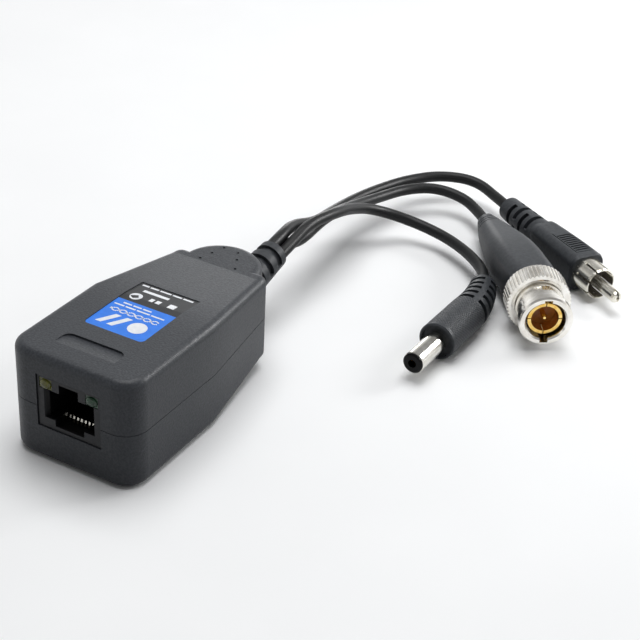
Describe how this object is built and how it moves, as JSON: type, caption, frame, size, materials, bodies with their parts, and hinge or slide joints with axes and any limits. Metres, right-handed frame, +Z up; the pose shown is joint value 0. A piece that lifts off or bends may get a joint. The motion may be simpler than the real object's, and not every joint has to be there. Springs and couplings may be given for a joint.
{
  "type": "video balun",
  "caption": "Dark grey tapered video balun with a network socket and three short cords ending in a round power plug, a bayonet video plug and a phono audio plug.",
  "frame": {"origin": "on the table, under the middle of the case and its strain relief", "axes": "+Y from the socket end towards the cords, +X to the right seen from the socket end, +Z up"},
  "size_m": [0.0919, 0.1684, 0.0265],
  "materials": {
    "case_plastic": "fine matt texture, dark grey",
    "label_film": "printed film, blue and dark grey",
    "socket_plastic": "black",
    "contact_gold": "gold plated",
    "yellow_lens": "translucent yellow",
    "green_lens": "translucent green",
    "board": "green solder mask",
    "ferrite": "dark grey",
    "winding_wire": "enamelled copper",
    "component_ceramic": "matt",
    "component_film": "glossy",
    "soft_plastic": "soft dark grey",
    "cord_jacket": "satin dark grey",
    "lead_insulation": "coloured",
    "nickel": "nickel plated",
    "spring_steel": "plain",
    "black_insulator": "black",
    "amber_insulator": "amber",
    "seal": "soft"
  },
  "bodies": {
    "balun": {"top_cover": "case_plastic", "bottom_shell": "case_plastic", "label_panel": "label_film", "jack_housing": "socket_plastic", "jack_insert": "socket_plastic", "bnc_body": "contact_gold", "bnc_pin": "contact_gold", "dc_plug_contact": "contact_gold", "yellow_led": "yellow_lens", "green_led": "green_lens", "circuit_board": "board", "ferrite_core": "ferrite", "balun_winding": "winding_wire", "surge_arrester": "component_ceramic", "chip_resistors": "component_ceramic", "coupling_capacitors": "component_film", "strain_relief_boot": "soft_plastic", "dc_plug_body": "soft_plastic", "bnc_boot": "soft_plastic", "rca_body": "soft_plastic", "dc_cord": "cord_jacket", "video_cord": "cord_jacket", "audio_cord": "cord_jacket", "dc_lead_wires": "lead_insulation", "video_lead_wires": "lead_insulation", "audio_lead_wires": "lead_insulation", "jack_contacts": "nickel", "dc_plug_barrel": "nickel", "rca_pin": "nickel", "rca_shell": "nickel", "bnc_retaining_ring": "nickel", "case_screws": "spring_steel", "bnc_wave_washer": "spring_steel", "dc_plug_insulator": "black_insulator", "rca_insulator": "black_insulator", "bnc_insulator": "amber_insulator", "bnc_gasket": "seal"},
    "thrust_washer": {"bnc_flat_washer": "spring_steel"},
    "coupling_nut": {"bnc_coupling_nut": "nickel"}
  },
  "joints": [
    {"name": "nut_press", "type": "slide", "parent": "balun", "child": "thrust_washer", "axis": [0.565, -0.8251, 0], "range_m": [0, 0.0006], "stiffness_N_per_m": 4000, "springref_m": -0.0005, "deforming": ["bnc_wave_washer"]},
    {"name": "nut_spin", "type": "hinge", "parent": "thrust_washer", "child": "coupling_nut", "pos_m": [0.06007, 0.06934, 0.00811], "axis": [0.565, -0.8251, 0], "continuous": true}
  ]
}
